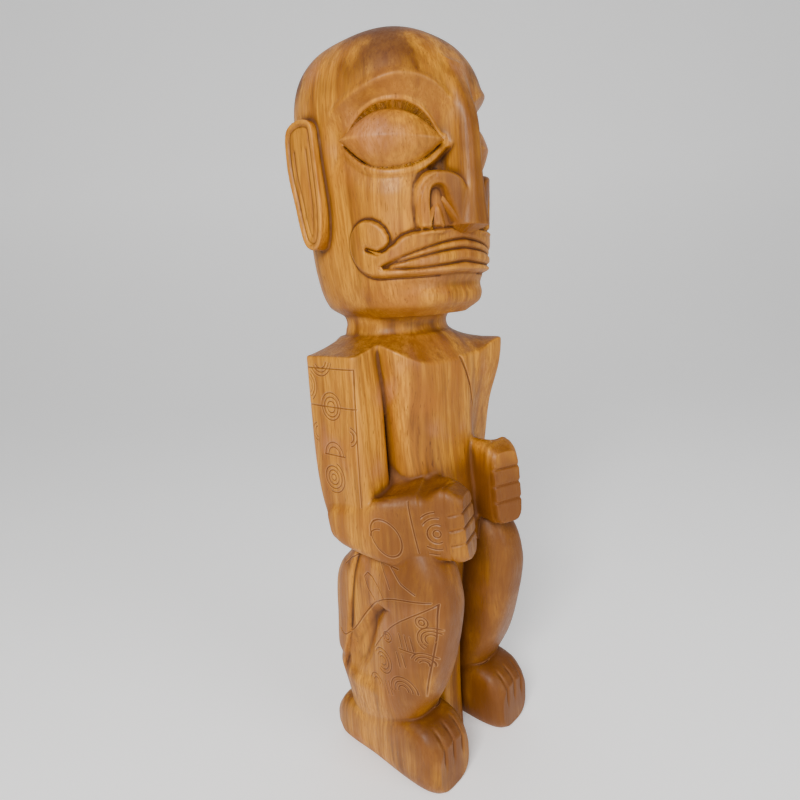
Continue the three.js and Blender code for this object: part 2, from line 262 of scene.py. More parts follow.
def face_chart():
    """How far the carved face stands out of the plain head, and what each spot belongs to."""
    t, z = TURNS[:, None], HEIGHTS[None, :]
    t, z = np.broadcast_arrays(t, z)
    u = t * ARC
    out = np.zeros(t.shape, np.float32)
    # brow cove above the eye, soft hollow below
    eye = almond(t, z)
    ridge = track(BROW, t)[0] - z
    outside = np.maximum(eye, 0)
    above = COVE * smooth(ridge / (np.maximum(ridge, 0) + outside + 0.5)) * (ridge > 0)
    below = UNDER_EYE * (1 - smooth(outside / 24))
    side = ramp(z, 674, 698)
    fade = ramp(t, 104, 86) * ramp(t, 4, 14)
    above = above * (1 - 0.45 * ramp(t, 58, 84))
    out -= (above * side + below * (1 - side)) * fade
    out += BROW_CREST * hill(ridge, 4.5) * ramp(t, 96, 80) * ramp(t, 0, 14)
    # lid rims and the recess round the eyeball
    upper = ramp(z, EYE_Z - 8, EYE_Z + 6)
    out += LID_UPPER * hill(eye - 1.8, 1.7) * upper
    out += LID_LOWER * ramp(eye, -0.5, 1.2) * ramp(eye, 7.5, 4.5) * (1 - upper)
    out -= SOCKET_UPPER * smooth(-eye / 2.4) * upper + SOCKET_LOWER * smooth(-eye / 5.0) * (1 - upper)
    # pit between the nose and the eye
    out -= PIT_DEPTH * ramp(outline(u, z, rounded(PIT, 1), ARC), 2.0, -5.0)
    # nostril wing with its slot, tongue and outer line
    wing = outline(u, z, rounded(WING, 2), ARC)
    slot = outline(u, z, rounded(SLOT, 2), ARC)
    tongue = outline(u, z, rounded(TONGUE, 2), ARC)
    proud = WING_PROUD + WING_NOSE_PROUD * ramp(t, 33, 6)
    lift = proud * smooth(-wing / 7.0) ** 0.6
    line = stroke(u, z, WING_LINE, ARC)
    lift -= 1.5 * hill(line, 1.2) * (wing < 0) + 1.6 * ramp(t + 0.12 * (z - 620), 34.8, 36)
    cut = smooth(-slot / 2.4)
    tongue_lift = 3.0 * smooth(-tongue / 3.6) ** 0.7
    lift = lift * (1 - cut) + (0.3 * proud + tongue_lift) * cut
    out = np.where(wing < 0, out * ramp(wing, -4, 0) + np.maximum(lift, 0), out)
    # lips and curl
    mouth = outline(u, z, MOUTH, ARC)
    curl = ramp(t, 47, 58)
    height = CURL_HEIGHT * curl + (LIP_HEIGHT + 0.6 * ramp(t, 50, 10)) * (1 - curl)
    plate = height * smooth(-mouth / 4.2) ** 0.62
    for rows in LIP_LINES:
        gap = z - track(rows, t)[0]
        live = ramp(t, 60.5, 55)
        plate -= (2.6 * hill(gap, 1.3) + 1.2 * hill(gap, 3.4)) * live * (mouth < 0)
    notch = stroke(u, z, CURL_NOTCH, ARC)
    plate -= (5.0 * hill(notch, 1.7) + 1.6 * hill(notch, 4.0)) * (mouth < 1)
    eyelet = np.sqrt((u - 66.5 * ARC) ** 2 + (z - 598) ** 2)
    plate += 1.4 * (1 - smooth(eyelet / 15)) * (mouth < 0)
    out = np.where(mouth < 0, np.maximum(plate, -1.5) + out * (wing < 0) * 0.4, out)
    # a scored line round the raised shapes
    out -= (0.6 + 1.2 * ramp(t, 72, 60)) * hill(mouth - 0.5, 1.2) * (mouth > -0.4) * (t > 20)
    out -= 1.0 * hill(wing - 0.5, 1.2) * (wing > -0.4) * (mouth > 0) * (t > 16)
    # dip under the lips
    out -= LIP_DIP * hill(z - LIP_DIP_Z, 8) * ramp(t, 62, 30) * (mouth > 0)
    owner = np.full(t.shape, NUMBER["head_block"])
    owner[eye < 0] = NUMBER["right_eye"]
    owner[(wing < 0) & (z > 606)] = NUMBER["right_nose_wing"]
    owner[mouth < 0] = NUMBER["lower_lip"]
    owner[(mouth < 0) & (z > track(LIP_LINES[1], t)[0])] = NUMBER["upper_lip"]
    owner[(mouth < 0) & (t > 57)] = NUMBER["right_mouth_curl"]
    return out.astype(np.float32), owner


FACE, FACE_OWNER = face_chart()


def turn_of(x, y):
    return np.degrees(np.arctan2(np.abs(x), HEAD_Y - y)).astype(np.float32)


def read(chart, turn, height):
    """The chart's value at a turn and a height, between its points."""
    a = np.clip((turn - TURNS[0]) / (TURNS[1] - TURNS[0]), 0, len(TURNS) - 1.01)
    b = np.clip((height - HEIGHTS[0]) / (HEIGHTS[1] - HEIGHTS[0]), 0, len(HEIGHTS) - 1.01)
    i, j = a.astype(np.int32), b.astype(np.int32)
    fa, fb = a - i, b - j
    return ((chart[i, j] * (1 - fa) + chart[i + 1, j] * fa) * (1 - fb)
            + (chart[i, j + 1] * (1 - fa) + chart[i + 1, j + 1] * fa) * fb)


def head(x, y, z):
    return loft(HEAD, x, y, z) - read(FACE, turn_of(x, y), z) * ramp(z, 514, 528)


def eyeball(x, y, z):
    """A lens-shaped eyeball with a ridge along its middle."""
    turn, tip = math.radians(48), math.radians(-3)
    m = -np.abs(x)
    out = -m * math.sin(turn) - (y - 15) * math.cos(turn) - EYE_REACH
    side = -m * math.cos(turn) + (y - 15) * math.sin(turn)
    out = out + 0.0036 * side ** 2
    rise = z - 684.5
    side, rise = (side * math.cos(tip) - rise * math.sin(tip),
                  side * math.sin(tip) + rise * math.cos(tip))
    pinch = np.clip(1 - 0.45 * (side / EYEBALL_WIDE) ** 4, 0.3, 1)
    tall = np.where(rise > 0, EYEBALL_ABOVE, EYEBALL_BELOW) * pinch
    g = np.sqrt((side / EYEBALL_WIDE) ** 2 + np.abs(rise / tall) ** 1.05 + (out / EYEBALL_OUT) ** 2)
    r = np.sqrt(side ** 2 + rise ** 2 + out ** 2)
    return r - (r + 1e-4) / (g + 1e-6)


def ear(x, y, z):
    """Slab ear with a raised border round a long sunken loop."""
    edge = outline(y - EAR_Y, z - EAR_Z, rounded(EAR, 2))
    face = EAR_FACE - 2.4 * hill(edge + 6.5, 1.6) - 1.0 * smooth((-edge - 6.5) / 3)
    face = face - 1.5 * hill(edge + 13, 1.4) * ((z - EAR_Z) < 30)
    return np.maximum(edge, np.maximum(np.abs(x) - face, EAR_ROOT - np.abs(x)))


def nose(x, y, z):
    return loft(NOSE, x, y, z)


# ---------------------------------------------------------------- the body
def deck(x, y, z):
    """How far above the sloping top of the shoulders a spot lies."""
    inner = ((np.abs(x) / 63) ** 2.4 + (np.abs(y - 26) / 56) ** 2.4) ** (1 / 2.4)
    outer = ((np.abs(x) / 106) ** 3.6 + (np.abs(y - 16) / 68) ** 3.6) ** (1 / 3.6)
    a, b = np.clip(inner - 1, 0, None), np.clip(1 - outer, 0, None)
    share = a / (a + b + 1e-3)
    fall = 15.0 + 14.0 * ramp(-y, -5, 48) * ramp(np.abs(x), 98, 40)
    return z - (NECK_Z + 1.5 - fall * share ** 1.1)


CRACK = [(17, 470), (26, 454), (35, 436), (40, 420), (49, 402)]


def torso(x, y, z):
    """The trunk, with a drying crack down the left of the chest."""
    d = loft(TORSO, x, y, z)
    return d + 1.4 * hill(stroke(x, z, CRACK), CRACK_WIDTH) * (y < -20)


def forearm(m, y, z):
    """A block whose top climbs towards the chest, dished between its rims."""
    across, lift, ahead = in_limb(FOREARM_AXES, ELBOW, m, y, z)
    slope = 0.42 - 0.14 * ramp(ahead, 40, 70)
    inner = 0.075 * np.clip(across, 0, 17) ** 2 * ramp(ahead, 70, 44)
    rise = slope * np.clip(across + 27, 0, 60) + inner
    lift = lift - rise * ramp(lift, 0, 30)
    d = loft(FOREARM, across, lift, ahead)
    dish = np.sqrt(((across + 2) / 24) ** 2 + ((lift - 39) / 10) ** 2 + ((ahead - 34) / 44) ** 2)
    return -blend(-d, (dish - 1) * 11, 3.0)


def hand(x, y, z):
    """A fist; the left one is a little taller than the right."""
    across, lift, ahead = in_limb(HAND_AXES, WRIST, -np.abs(x), y, z)
    lift = np.where(x > 0, (lift - 18) * 0.85, lift)
    lift = lift - 0.28 * np.clip(across + 24, 0, 60) * ramp(lift, 0, 30) * ramp(ahead, 34, 4)
    d = loft(HAND, across, lift, ahead)
    dish = np.sqrt((across / 19) ** 2 + ((lift - 40) / 8) ** 2 + ((ahead - 4) / 24) ** 2)
    d = -blend(-d, (dish - 1) * 7, 3.0)
    start = 30 + 12 * ramp(across, 2, 16)
    fingers = ramp(ahead, start, start + 4)
    d = d + 0.9 * hill(ahead - start, 1.6)
    for groove in FINGER_GROOVES:
        d = d + FINGER_DEPTH * hill(lift - groove - 0.14 * (ahead - 40), 1.5) * fingers
    return d


HOLLOW = [(-27, 212), (-4, 182), (12, 136), (34, 104), (62, 100), (60, 128), (30, 172), (10, 202),
          (-8, 214)]
STRIP = [(90, 62, 0), (110, 58, 0), (150, 45, 0), (218, 33, 0), (262, 26, 0), (280, 24, 0)]


def leg(m, y, z):
    """A thigh and calf, hollowed behind the knee inside a raised strip down the back edge."""
    d = loft(LEG, m, y, z)
    outer = ramp(m, -56, -76)
    hollow = outline(y, z, HOLLOW)
    strip = track(STRIP, z)[0]
    inside_strip = ramp(y, strip + 4, strip - 16) * ramp(z, 100, 132)
    d = d + HOLLOW_DEPTH * ramp(hollow, 4.0, -12.0) * outer * inside_strip
    d = d + STRIP_DEPTH * ramp(y, -26, 16) * ramp(y, strip + 2.5, strip - 2.5) * outer * ramp(z, 96, 116)
    # a fold behind the knee
    return d + 3.0 * hill(z - 128 + 0.1 * y, 7) * ramp(y, 44, 58)


def foot(m, y, z):
    """A block foot with its sole cut flat and three short grooves between the toes."""
    d = loft(FOOT, m + FOOT_X, z + SOLE_CUT, -y)
    toes = ramp(-y, 60, 70)
    for groove in TOE_GROOVES:
        d = d + TOE_DEPTH * hill(m + FOOT_X - groove, 1.7) * toes * ramp(z, 26, 46)
    return np.maximum(d, -z)


# ---------------------------------------------------------------- the field of the whole figure
axes = [np.arange(lo, hi + VOXEL, VOXEL, dtype=np.float32) for lo, hi in zip(LOW, HIGH)]
wood = np.full([len(a) for a in axes], FAR, np.float32)


def block(lo, hi):
    sl = tuple(slice(*np.searchsorted(a, (l, h))) for a, l, h in zip(axes, lo, hi))
    x, y, z = (a[s] for a, s in zip(axes, sl))
    return sl, x[:, None, None], y[None, :, None], z[None, None, :]


def join(lo, hi, shape, soft=2.0):
    sl, x, y, z = block(lo, hi)
    soft = soft(z) if callable(soft) else soft
    wood[sl] = blend(wood[sl], shape(x, y, z).astype(np.float32), soft)


def carve(lo, hi, shape, soft=2.0):
    sl, x, y, z = block(lo, hi)
    wood[sl] = -blend(-wood[sl], shape(x, y, z).astype(np.float32), soft)


# shoulders: torso and upper arms cut by the sloping deck
join((-100, -80, 248), (100, 96, 506), torso, 2.0)
join((-115, -30, 240), (-50, 80, 506), lambda x, y, z: loft(RIGHT_ARM, x, y, z), 2.2)
join((26, -80, 240), (115, 80, 506), lambda x, y, z: loft(LEFT_ARM, -x, y, z), 16.0)
carve((-115, -90, 460), (115, 100, 506), lambda x, y, z: -deck(x, y, z), 3.0)
join((-90, -60, 482), (90, 100, 526), lambda x, y, z: loft(NECK, x, y, z), 5.0)
join((-112, -112, 512), (112, 115, 806), head, 2.5)
join((-62, -110, 598), (62, 20, 790), nose, lambda z: 3 + 9 * ramp(z, 650, 705))
join((-112, -104, 650), (112, 20, 726), eyeball, 1.2)
join((-106, 6, 580), (106, 84, 730), ear, 1.5)
join((-115, -80, 236), (115, 72, 410), lambda x, y, z: forearm(-np.abs(x), y, z), 2.2)
join((-100, -112, 250), (100, -20, 410), hand, 7.0)
join((-40, -70, -4), (40, 96, 266), lambda x, y, z: loft(LEG_CORE, x, y, z), 2.0)
join((-115, -105, 40), (115, 100, 292), lambda x, y, z: leg(-np.abs(x), y, z), 2.0)
join((-104, -96, -4), (104, 100, 92), lambda x, y, z: foot(-np.abs(x), y, z), 2.0)
carve((-115, -110, -4), (115, 115, 8), lambda x, y, z: z, 0.8)


def box_blur(f, reach):
    """Mean over a cube, one axis at a time."""
    for axis in range(3):
        pad = [(0, 0)] * 3
        pad[axis] = (reach + 1, reach)
        c = np.cumsum(np.pad(f, pad, mode="edge"), axis=axis, dtype=np.float32)
        hi = [slice(None)] * 3
        lo = [slice(None)] * 3
        hi[axis], lo[axis] = slice(2 * reach + 1, None), slice(None, -2 * reach - 1)
        f = (c[tuple(hi)] - c[tuple(lo)]) / (2 * reach + 1)
    return f


def trilinear(f, points):
    a = (points - [ax[0] for ax in axes]) / VOXEL
    a = np.clip(a, 0, np.array(f.shape) - 1.01)
    i = a.astype(np.int32)
    w = a - i
    total = 0
    for dx in (0, 1):
        for dy in (0, 1):
            for dz in (0, 1):
                weight = ((w[:, 0] if dx else 1 - w[:, 0]) * (w[:, 1] if dy else 1 - w[:, 1])
                          * (w[:, 2] if dz else 1 - w[:, 2]))
                total = total + weight * f[i[:, 0] + dx, i[:, 1] + dy, i[:, 2] + dz]
    return total


grid = vdb.FloatGrid(FAR)
grid.copyFromArray(np.clip(wood, -FAR, FAR))
points, quads = grid.convertToQuads(0.0)
points = np.asarray(points, np.float64) * VOXEL + [a[0] for a in axes]
quads = np.asarray(quads, np.int64)


def area_vectors(p, q):
    return 0.5 * np.cross(p[q[:, 2]] - p[q[:, 0]], p[q[:, 3]] - p[q[:, 1]])


if (area_vectors(points, quads) * points[quads].mean(1)).sum() < 0:
    quads = quads[:, ::-1].copy()


def edges_of(q):
    return np.concatenate([q[:, [0, 1]], q[:, [1, 2]], q[:, [2, 3]], q[:, [3, 0]]])


def relax(p, q, rounds, amount):
    e = edges_of(q)
    count = np.bincount(e[:, 0], minlength=len(p)) + np.bincount(e[:, 1], minlength=len(p))
    for _ in range(rounds):
        for push in (amount, -amount * 1.03):
            total = np.stack([np.bincount(e[:, 0], p[e[:, 1], k], len(p))
                              + np.bincount(e[:, 1], p[e[:, 0], k], len(p)) for k in range(3)], 1)
            p = p + push * (total / np.maximum(count, 1)[:, None] - p)
    return p


points = relax(points, quads, 3, 0.5)


def vertex_normals(p, q):
    face = area_vectors(p, q)
    n = np.stack([sum(np.bincount(q[:, c], face[:, k], len(p)) for c in range(4))
                  for k in range(3)], 1)
    return n / np.maximum(np.linalg.norm(n, axis=1, keepdims=True), 1e-12)


normals = vertex_normals(points, quads)
near = np.clip(wood, -6, 6)
cavity = trilinear(box_blur(near, max(1, round(4.0 / VOXEL))), points)
broad = trilinear(box_blur(near, max(2, round(9.0 / VOXEL))), points)


# ---------------------------------------------------------------- which region each face belongs to
def regions(p):
    x, y, z = p[:, 0], p[:, 1], p[:, 2]
    m = -np.abs(x)
    plain = [("torso", loft(TORSO, x, y, z)),
             ("right_forearm", forearm(m, y, z) - 0.3),
             ("right_hand", hand(x, y, z) - 0.2),
             ("leg_core", loft(LEG_CORE, x, y, z)),
             ("right_thigh", leg(m, y, z) - 0.2),
             ("right_foot", foot(m, y, z))]
    arm = np.where(x < 0, loft(RIGHT_ARM, x, y, z), loft(LEFT_ARM, -x, y, z))
    plain.append(("right_upper_arm", arm))
    names = np.array([NUMBER[n] for n, _ in plain])
    own = names[np.argmin(np.stack([d for _, d in plain]), axis=0)]
    below = (z - KNEE_Z) * math.cos(KNEE_TILT) < (y + 5) * math.sin(KNEE_TILT) * -1
    own[(own == NUMBER["right_thigh"]) & below] = NUMBER["right_calf"]
    own[z > NECK_Z - 3 + 3 * ramp(np.abs(x), 0, 80)] = NUMBER["neck"]
    deck_top = (deck(x, y, z) > -1.6) & (z > 470) & (own != NUMBER["neck"])
    own[deck_top & (np.abs(x) < 66)] = NUMBER["torso"]
    own[z > CHIN_Z - 0.5] = NUMBER["head_block"]
    up = z > CHIN_Z
    turn = turn_of(x, y)
    i = np.clip(np.round((turn - TURNS[0]) / TURN_STEP), 0, len(TURNS) - 1).astype(int)
    j = np.clip(np.round((z - HEIGHTS[0]) / HEIGHT_STEP), 0, len(HEIGHTS) - 1).astype(int)
    own[up] = FACE_OWNER[i, j][up]
    bridge = (z > 604) & (z < 744) & (loft(NOSE, x, y, z) < 1.2) & (y < -30)
    own[up & bridge & (loft(HEAD, x, y, z) > 0.4)] = NUMBER["nose"]
    own[up & (ear(x, y, z) < 1.0) & (np.abs(x) > 76)] = NUMBER["right_ear"]
    left = (x > 0) & (own >= NUMBER["right_ear"])
    own[left] += NUMBER["left_ear"] - NUMBER["right_ear"]
    return own


def face_pairs(q):
    """Pairs of faces that share an edge."""
    e = np.sort(edges_of(q), axis=1)
    face = np.tile(np.arange(len(q)), 4)
    key = e[:, 0] * (q.max() + 1) + e[:, 1]
    order = np.argsort(key, kind="stable")
    key, face = key[order], face[order]
    same = key[1:] == key[:-1]
    return np.stack([face[:-1][same], face[1:][same]], 1)


def groups(count, pairs):
    """A number for each connected group."""
    root = np.arange(count)
    while True:
        a, b = root[pairs[:, 0]], root[pairs[:, 1]]
        apart = a != b
        if not apart.any():
            return root
        np.minimum.at(root, np.maximum(a, b)[apart], np.minimum(a, b)[apart])
        while (root[root] != root).any():
            root = root[root]


def settle(own, pairs, rounds):
    for _ in range(rounds):
        votes = np.zeros((len(own), len(ORDER)), np.float32)
        votes[np.arange(len(own)), own] = 1.4
        np.add.at(votes, (pairs[:, 0], own[pairs[:, 1]]), 1)
        np.add.at(votes, (pairs[:, 1], own[pairs[:, 0]]), 1)
        own = votes.argmax(1)
    return own


owner = regions(points[quads].mean(1))
pairs = face_pairs(quads)
owner = settle(owner, pairs, 4)
for _ in range(8):
    inner = pairs[owner[pairs[:, 0]] == owner[pairs[:, 1]]]
    label = groups(len(owner), inner)
    size = np.bincount(label, minlength=len(owner))
    best = {k: size[label[owner == k]].max() for k in range(len(ORDER)) if (owner == k).any()}
    limit = np.array([best.get(k, 0) for k in range(len(ORDER))])
    small = size[label] < limit[owner]
    if not small.any():
        break
    across = np.concatenate([pairs, pairs[:, ::-1]])
    across = across[small[across[:, 0]] & ~small[across[:, 1]]]
    votes = np.zeros((len(owner), len(ORDER)), np.float32)
    np.add.at(votes, (label[across[:, 0]], owner[across[:, 1]]), 1)
    choice = votes[label].argmax(1)
    known = votes[label].max(1) > 0
    owner = np.where(small & known, choice, owner)


# ---------------------------------------------------------------- engraved patterns, in millimetres
def ring(u, v, cu, cv, radius, start=0.0, end=360.0):
    """Distance to a circle, or to the part of it between two directions in degrees."""
    du, dv = u - cu, v - cv
    d = np.abs(np.hypot(du, dv) - radius)
    if end - start >= 360:
        return d
    a = (np.degrees(np.arctan2(dv, du)) - start) % 360
    return np.where(a <= end - start, d, 99.0)


def nearest(*distances):
    best = distances[0]
    for d in distances[1:]:
        best = np.minimum(best, d)
    return best


def arm_lines(y, z):
    """Upper arm: corner arcs, a girdle line with half rounds, a dome, rings, and arcs at the elbow."""
    lines = [stroke(y, z, [(-10, 431), (62, 431)]), stroke(y, z, [(10, 379), (42, 379)])]
    lines += [ring(y, z, 27, 431, r, 0, 180) for r in (6, 10.5, 15)]
    lines += [ring(y, z, 27, 431, r, 180, 360) for r in (6, 10.5, 14)]
    lines += [ring(y, z, 27, 379, r, 0, 180) for r in (9, 14)]
    lines += [ring(y, z, 31, 354, r) for r in (3.5, 8, 12.5)]
    lines += [ring(y, z, 31, 354, 17, 110, 290)]
    lines += [ring(y, z, 28, 282, r, 15, 165) for r in (20, 26, 33)]
    lines += [ring(y, z, 28, 282, r, 200, 330) for r in (9, 14)]
    lines += [ring(y, z, 40, 480, r, 190, 330) for r in (9, 13, 17)]
    lines += [ring(y, z, 66, 452, r, 120, 240) for r in (10, 14, 18)]
    lines += [ring(y, z, 2, 402, r, 100, 260) for r in (6, 10)]
    lines += [ring(y, z, 50, 402, r, -80, 80) for r in (6, 10)]
    lines += [stroke(y, z, [(-7, 300), (-8, 360), (-8, 471), (62, 471)])]
    return nearest(*lines)


def forearm_lines(a, l):
    """Forearm: a leaning drop-shaped loop, and a line at the wrist."""
    lean = 0.35
    u = (a - 38) * math.cos(lean) + (l + 4) * math.sin(lean)
    v = -(a - 38) * math.sin(lean) + (l + 4) * math.cos(lean)
    drop = np.abs(np.hypot(u / 14, v / 22) - 1) * 16
    return nearest(drop, np.abs(a - 68) + 6 * (l > 30), ring(a, l, 30, -2, 9, 60, 170))


def hand_lines(a, l):
    return nearest(*[ring(a, l, 20, -6, r, *turn) for r, turn in (
        (4, ()), (10, (60, 300)), (17, (75, 285)), (23, (90, 270)))])


FLOW = [(62, 158), (50, 152), (33, 168), (16, 192), (-4, 214), (-30, 229), (-78, 234)]
SHIN_LINE = [(-84, 232), (-82, 200), (-74, 166), (-62, 116)]
PANEL_TOP = [(2, 157), (-14, 178), (-36, 202), (-84, 232)]


def curved(points, rounds=2):
    """An open line with its corners cut round."""
    for _ in range(rounds):
        cuts = [tuple(a[k] + share * (b[k] - a[k]) for k in (0, 1))
                for a, b in zip(points, points[1:]) for share in (0.25, 0.75)]
        points = points[:1] + cuts[1:-1] + points[-1:]
    return points


def leg_lines(y, z):
    """Leg: a long flowing line, leaf loops on the thigh, and a bordered panel down the calf."""
    lines = [stroke(y, z, curved(line)) for line in (FLOW, PANEL_TOP, SHIN_LINE)]
    lines += [stroke(y, z, [(44, 244), (34, 254), (22, 260), (6, 264), (-12, 265), (-40, 262)])]
    lines += [stroke(y, z, [(0, 242), (8, 244), (13, 238), (8, 226), (-4, 216)]),
              stroke(y, z, [(0, 242), (-12, 234), (-20, 224)]),
              stroke(y, z, [(-14, 263), (-26, 246), (-30, 238)]),
              stroke(y, z, [(-30, 262), (-44, 248), (-62, 240)])]
    lines += [ring(y, z, -68, 211, r) for r in (3, 6.5)]
    lines += [ring(y, z, -76, 192, r, -60, 150) for r in (6, 10, 14)]
    for k in (-7, 0, 7):
        lines.append(stroke(y, z, [(-46 + k, 190), (-49 + k, 174)]))
    lines += [stroke(y, z, [(-38, 172), (-58, 172)])]
    lines += [ring(y, z, -22, 180, r) for r in (3, 6)]
    lines += [ring(y, z, -12, 147, r, 20, 300) for r in (5, 9.5, 14)]
    lines += [stroke(y, z, [(-34, 166), (-38, 150)]), stroke(y, z, [(-41, 166), (-45, 152)])]
    lines += [ring(y, z, -66, 160, r, 20, 200) for r in (5, 9.5, 14)]
    lines += [ring(y, z, -40, 122, r, -20, 190) for r in (6, 11, 16)]
    lines += [ring(y, z, 2, 112, r, 10, 170) for r in (6, 11)]
    lines += [stroke(y, z, [(-14, 124), (-18, 108)]), stroke(y, z, [(-20, 126), (-24, 110)])]
    return nearest(*lines)


def foot_lines(m, y):
    """Instep: a fan of arcs."""
    return nearest(*[ring(m, y, -50, -34, r, 150, 330) for r in (5, 9.5, 14)])


def engraving(name, p, n):
    """Depth of the engraved lines at each point of a piece."""
    m, y, z = -np.abs(p[:, 0]), p[:, 1], p[:, 2]
    nm = n[:, 0] * np.sign(p[:, 0])
    kind = name.split("_", 1)[-1]
    if kind == "upper_arm":
        lead = 0 if name.startswith("right") else 30
        d = arm_lines(y + lead * ramp(z, 300, 430), z)
        face = ramp(nm, 0.45, 0.7)
    elif kind == "forearm":
        _, lift, ahead = in_limb(FOREARM_AXES, ELBOW, m, y, z)
        d, face = forearm_lines(ahead, lift), ramp(nm, 0.45, 0.7)
    elif kind == "hand":
        _, lift, ahead = in_limb(HAND_AXES, WRIST, m, y, z)
        d, face = hand_lines(ahead, lift), ramp(nm, 0.45, 0.7)
    elif name == "torso":
        return CRACK_DEPTH * hill(stroke(p[:, 0], z, CRACK), CRACK_WIDTH) * (y < -20)
    elif kind in ("thigh", "calf"):
        d, face = leg_lines(y, z), ramp(nm, 0.3, 0.6)
    else:
        d, face = foot_lines(m, y), ramp(n[:, 2], 0.4, 0.7)
    return ENGRAVED_DEPTH * hill(d, ENGRAVED_WIDTH) * face


CUT_INTO = ("torso", "upper_arm", "forearm", "hand", "thigh", "calf", "foot")


def subdivide(p, q, extra):
    """Each face becomes four, without changing the shape."""
    e = np.sort(edges_of(q), axis=1)
    key, back = np.unique(e[:, 0] * (len(p) + 1) + e[:, 1], return_inverse=True)
    ends = np.stack([key // (len(p) + 1), key % (len(p) + 1)], 1)
    back = back.reshape(4, -1) + len(p)
    centre = np.arange(len(q)) + len(p) + len(key)

    def grow(v):
        return np.concatenate([v, v[ends].mean(1), v[q].mean(1)])

    a, b, c, d = q.T
    ab, bc, cd, da = back
    fine = np.concatenate([np.stack(f, 1) for f in (
        (a, ab, centre, da), (ab, b, bc, centre), (centre, bc, c, cd), (da, centre, cd, d))])
    return grow(p), fine, [grow(v) for v in extra]


def rim_edges(q):
    """The edges round the holes of an open patch, in the order of its faces."""
    e = edges_of(q)
    low, high = e.min(1), e.max(1)
    _, back, count = np.unique(low * (q.max() + 1) + high, return_inverse=True, return_counts=True)
    return e[count[back.ravel()] == 1]


def make_piece(name, material):
    mine = quads[owner == NUMBER[name]]
    used, q = np.unique(mine, return_inverse=True)
    q = q.reshape(-1, 4)
    p, n, c, b = points[used], normals[used], cavity[used], broad[used]
    cut = np.zeros(len(p))
    if name.split("_", 1)[-1] in CUT_INTO:
        p, q, (n, c, b) = subdivide(p, q, [n, c, b])
        n /= np.linalg.norm(n, axis=1, keepdims=True)
        cut = engraving(name, p, n)
        rim = np.unique(rim_edges(q))
        cut[rim] = 0
        p = p - n * cut[:, None]
        fresh = vertex_normals(p, q)
        fresh[rim] = n[rim]
        n = fresh
    rim = rim_edges(q)
    spots, rim_index = np.unique(rim, return_inverse=True)
    rim_index = rim_index.reshape(-1, 2)
    label = groups(len(spots), rim_index)
    loops, which = np.unique(label, return_inverse=True)
    hubs = np.stack([np.bincount(which, p[spots][:, k]) / np.bincount(which) for k in range(3)], 1)
    caps = np.stack([rim[:, 1], rim[:, 0], which[rim_index[:, 0]] + len(p)], 1)
    whole = np.concatenate([p, hubs])
    whole = (whole + [0, CENTRING, 0]) * MM
    mesh = bpy.data.meshes.new(name)
    mesh.vertices.add(len(whole))
    mesh.vertices.foreach_set("co", whole.ravel())
    corners = np.concatenate([q.ravel(), caps.ravel()])
    sizes = np.concatenate([np.full(len(q), 4), np.full(len(caps), 3)])
    mesh.loops.add(len(corners))
    mesh.loops.foreach_set("vertex_index", corners)
    mesh.polygons.add(len(sizes))
    mesh.polygons.foreach_set("loop_start", np.concatenate([[0], np.cumsum(sizes)[:-1]]))
    mesh.polygons.foreach_set("loop_total", sizes)
    mesh.update(calc_edges=True)
    mesh.shade_smooth()
    flat = np.cross(whole[caps[:, 1]] - whole[caps[:, 0]], whole[caps[:, 2]] - whole[caps[:, 0]])
    flat /= np.maximum(np.linalg.norm(flat, axis=1, keepdims=True), 1e-15)
    turned = np.concatenate([n[q.ravel()], np.repeat(flat, 3, axis=0)])
    mesh.normals_split_custom_set(turned.tolist())
    hub_fill = np.zeros(len(hubs))
    for label_name, values in (("cavity", c), ("broad", b), ("engraved", cut)):
        layer = mesh.attributes.new(label_name, "FLOAT", "POINT")
        layer.data.foreach_set("value", np.concatenate([values, hub_fill]).astype(np.float32))
    mesh.materials.append(material)
    piece = bpy.data.objects.new("tiki_" + name, mesh)
    bpy.context.scene.collection.objects.link(piece)
    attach(piece, "root")
    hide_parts(name)
    return piece


# ---------------------------------------------------------------- the wood
def socket(node, name):
    return next(s for s in node.inputs if s.name == name and s.enabled)


